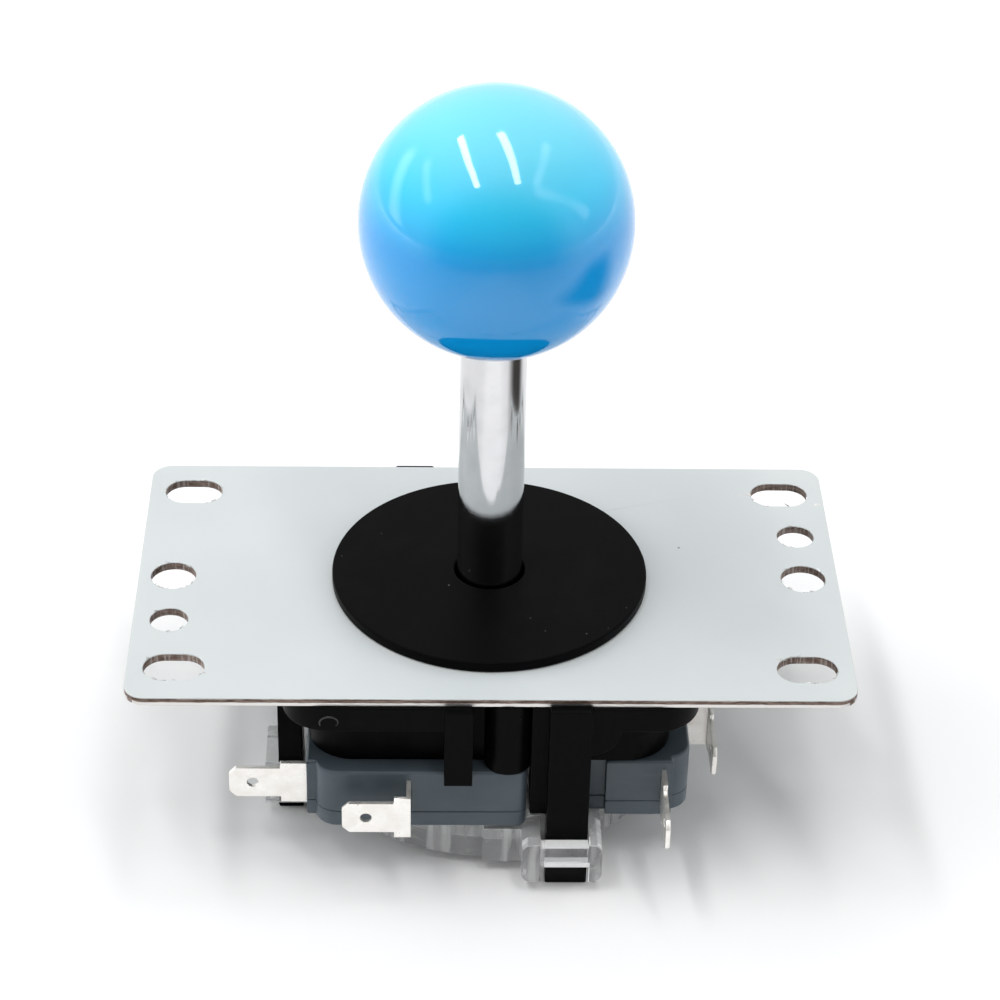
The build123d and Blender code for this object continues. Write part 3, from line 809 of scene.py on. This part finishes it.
def floor_sheet():
    """White, and lit far off. Mirrors show a darker room beyond its front and beside it on the right."""
    material = bpy.data.materials.new("floor")
    flow = bare_flow(material)
    place = flow.node("ShaderNodeTexCoord", out="Object")
    x = place.axis("X")
    y = place.axis("Y")
    away = flow.node("ShaderNodeVectorMath", {"operation": "LENGTH"}, {0: place}, out="Value")
    straight = flow.node("ShaderNodeLightPath", out="Is Camera Ray")
    mirror = straight.other("Is Glossy Ray")
    past_shadow = seen_or_mirrored(flow) * 0.20 * away.step(0.055, 0.13)
    near_front = (0 - y).step(0.045, 0.075) * (1 - x.size().step(0.03, 0.08))
    mirrored = mirror * (0.45 * away.step(0.3, 2.0) + 0.22 * near_front)
    horizon = straight * 0.80 * away.step(0.25, 1.00)
    glow = flow.node("ShaderNodeEmission", None, {"Color": past_shadow + mirrored + horizon})
    matt = flow.node("ShaderNodeBsdfDiffuse", None, {"Color": grey(0.93)})
    sheet = flow.node("ShaderNodeAddShader", None, {0: matt, 1: glow})
    far_front = ((0 - y) / away).step(0.35, 0.80) * away.step(0.06, 0.60)
    right_side = x.step(0.065, 0.10) * (1 - x.step(0.16, 0.32))
    right_side = right_side * y.step(-0.10, -0.03) * (1 - y.step(0.0, 0.06))
    dim = mirror * (0.7 * far_front).either(0.96 * right_side)
    room = flow.node("ShaderNodeBsdfDiffuse", None, {"Color": colour(0.03, 0.025, 0.02)})
    sheet = flow.node("ShaderNodeMixShader", None, {0: dim, 1: sheet, 2: room})
    under = flow.node("ShaderNodeNewGeometry", out="Backfacing")
    clear = flow.node("ShaderNodeBsdfTransparent")
    sheet = flow.node("ShaderNodeMixShader", None, {0: under, 1: sheet, 2: clear})
    flow.node("ShaderNodeOutputMaterial", None, {"Surface": sheet})
    return material


def floor():
    """Round floor under the lowest point of the object, clear when seen from below."""
    form = bmesh.new()
    bmesh.ops.create_circle(form, cap_ends=True, radius=FLOOR_RADIUS, segments=96)
    mesh = mesh_from(form, "floor")
    mesh.transform(Matrix.Translation((0, 0, FLOOR_Z)))
    thing = link_piece("floor", mesh)
    thing.data.materials.append(floor_sheet())


def off_strip(flow, direction, first, second):
    """How far a direction lies from the strip between two others."""
    run = Vector(second) - Vector(first)
    share_of_run = run / run.length_squared
    out = flow.node("ShaderNodeVectorMath", {"operation": "SUBTRACT"}, {0: direction, 1: first})
    share = flow.node("ShaderNodeVectorMath", {"operation": "DOT_PRODUCT"}, {0: out, 1: share_of_run},
                      out="Value")
    share = flow.node("ShaderNodeClamp", None, {"Value": share})
    along = flow.node("ShaderNodeVectorMath", {"operation": "SCALE"}, {0: run, "Scale": share})
    return flow.node("ShaderNodeVectorMath", {"operation": "DISTANCE"}, {0: out, 1: along}, out="Value")


def sky():
    """White all round, with a darker room in front and even light of its own, stronger from the sides."""
    world = bpy.data.worlds.new("sky")
    scene.world = world
    flow = bare_flow(world)
    direction = flow.node("ShaderNodeTexCoord", out="Generated")
    across = direction.axis("X")
    front = 0 - direction.axis("Y")
    raised = direction.axis("Z").step(0.0, 0.45)
    mirror = flow.node("ShaderNodeLightPath", out="Is Glossy Ray")
    shade = 1.0 - 0.75 * mirror * front.step(0.35, 0.80)
    for first, second, reach, strength in WINDOWS:
        away = off_strip(flow, direction, first, second)
        shade = shade + strength * mirror * (1 - away.step(0.2 * reach, reach))
    shown = flow.node("ShaderNodeBackground", None, {"Color": grey(1.0), "Strength": shade})
    sides = 0.9 * (0 - across).step(0.1, 0.9) + 1.1 * across.step(0.1, 0.9)
    level = 0.50 + raised * (0.50 + 1.2 * sides) - 0.25 * front.step(0.2, 0.9)
    even = flow.node("ShaderNodeBackground", None, {
        "Color": colour(0.97, 0.985, 1.0), "Strength": EVEN_LIGHT * level})
    both = flow.node("ShaderNodeMixShader", None, {0: seen_or_mirrored(flow), 1: even, 2: shown})
    flow.node("ShaderNodeOutputWorld", None, {"Surface": both})


def lamp(name, place, width, length, radiance):
    """Area lamp of one radiance at a place, looking down."""
    data = bpy.data.lights.new(name, "AREA")
    data.shape = "RECTANGLE"
    data.size = width
    data.size_y = length
    data.energy = radiance * math.pi * width * length
    thing = bpy.data.objects.new(name, data)
    scene.collection.objects.link(thing)
    thing.location = place
    return thing


def tube_light(name, near_end, far_end, radiance):
    """Long narrow lamp overhead between two places, given as shares of its height above the ball."""
    near = Vector(near_end) * LAMP_HEIGHT
    run = Vector(far_end) * LAMP_HEIGHT - near
    middle = near + run / 2
    place = (middle.x, middle.y, BALL_Z + LAMP_HEIGHT)
    thing = lamp(name, place, TUBE_WIDTH * LAMP_HEIGHT, run.length, radiance)
    thing.rotation_euler = (0, 0, math.atan2(-run.x, run.y))


def ceiling_light(width, radiance):
    """Wide soft lamp overhead that mirrors don't show."""
    place = (-0.35 * LAMP_HEIGHT, 0.1 * LAMP_HEIGHT, BALL_Z + 1.02 * LAMP_HEIGHT)
    thing = lamp("ceiling", place, width, width, radiance)
    thing.visible_glossy = False


def side_light(name, place, width, radiance):
    """Soft lamp beside the object that mirrors don't show, turned towards the ball."""
    thing = lamp(name, place, width, width, radiance)
    towards = Vector((0, 0, BALL_Z)) - Vector(place)
    thing.rotation_euler = towards.to_track_quat("-Z", "Y").to_euler()
    thing.visible_glossy = False


floor()
sky()
tube_light("left_tube", (-0.345, -0.632), (-0.466, 0.370), 13.2)
tube_light("right_tube", (0.312, -0.566), (0.023, 0.302), 11.0)
ceiling_light(1.2 * LAMP_HEIGHT, 0.42)
side_light("left_side", (-1.15, 0.05, 0.30), 0.9, 2.7)
side_light("right_side", (1.15, 0.25, 0.26), 0.7, 2.5)


# Camera

# Fitted to the photograph: focal length in pixels of its width, place in millimetres and two directions
SENSOR_WIDTH = 36.0
FOCAL_PIXELS = 3008.0
PICTURE_PIXELS = 1000
CAMERA_PLACE = Vector((-8.848, -331.607, 239.411))
VIEW_DIRECTION = Vector((0.02508, 0.82529, -0.56416))
PICTURE_RIGHT = Vector((0.99967, -0.01733, 0.01910))


def camera():
    data = bpy.data.cameras.new("camera")
    data.sensor_width = SENSOR_WIDTH
    data.sensor_fit = "HORIZONTAL"
    data.lens = SENSOR_WIDTH * FOCAL_PIXELS / PICTURE_PIXELS
    data.clip_start = 0.01
    data.clip_end = 50.0
    thing = bpy.data.objects.new("camera", data)
    scene.collection.objects.link(thing)
    forward = VIEW_DIRECTION.normalized()
    right = (PICTURE_RIGHT - forward * PICTURE_RIGHT.dot(forward)).normalized()
    up = right.cross(forward)
    turn = Matrix((right, up, -forward)).transposed()
    thing.matrix_world = Matrix.Translation(CAMERA_PLACE * MM) @ turn.to_4x4()
    scene.camera = thing


camera()
scene.view_settings.view_transform = "Standard"
